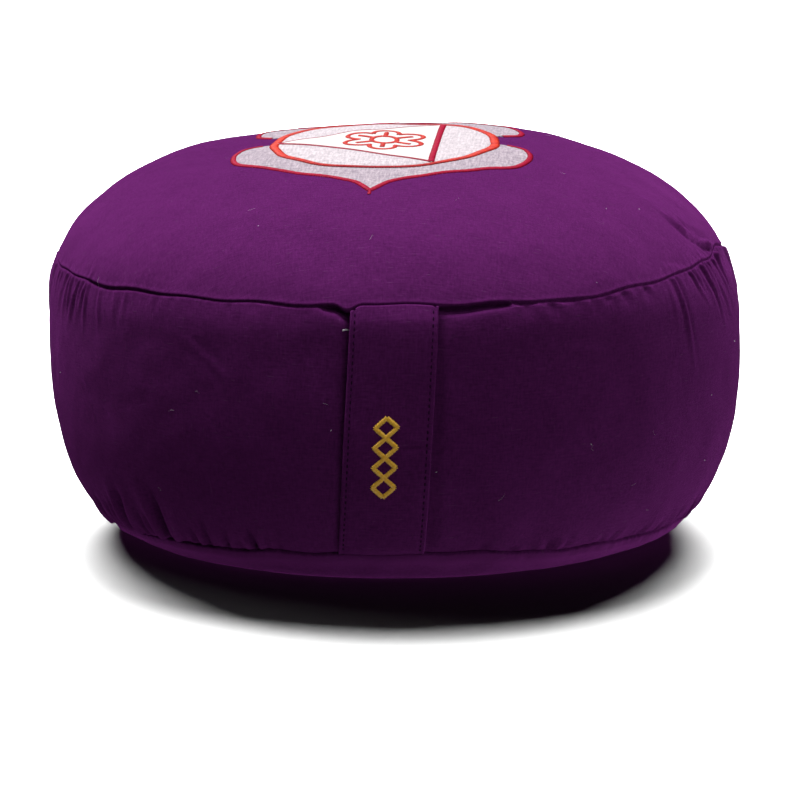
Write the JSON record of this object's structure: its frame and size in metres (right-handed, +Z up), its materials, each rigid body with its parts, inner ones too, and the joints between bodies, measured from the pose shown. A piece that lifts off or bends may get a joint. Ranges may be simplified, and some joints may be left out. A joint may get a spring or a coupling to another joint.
{
  "type": "zafu meditation cushion",
  "caption": "Round filled floor cushion with a crowned top, gathered side band, flat handle strap and a petalled cloth emblem sewn on the crown.",
  "frame": {"origin": "middle of the flat base, on the surface that the cushion rests on", "axes": "+Z up through the crown, -Y towards the side with the handle strap, +X to the right of a person who faces the strap"},
  "size_m": [0.3397, 0.3425, 0.1973],
  "materials": {
    "purple_cotton": "deep purple plain-woven cotton with fine slubs, matte",
    "strap_cotton": "the same purple cotton folded into a strap, stitched along both edges",
    "grey_cotton": "pale lilac-grey plain weave with a visible thread, matte",
    "white_cotton": "white plain weave, matte",
    "red_thread": "satin-stitched embroidery thread, silky",
    "gold_thread": "satin-stitched embroidery thread, silky",
    "purple_thread": "sewing thread of the edge stitching",
    "lint": "specks of pale lint and a loose thread end"
  },
  "bodies": {
    "root": {"cushion": "purple_cotton", "handle_strap": "strap_cotton", "petal_front": "grey_cotton", "petal_back": "grey_cotton", "disc": "grey_cotton", "triangle": "white_cotton"}
  },
  "joints": []
}
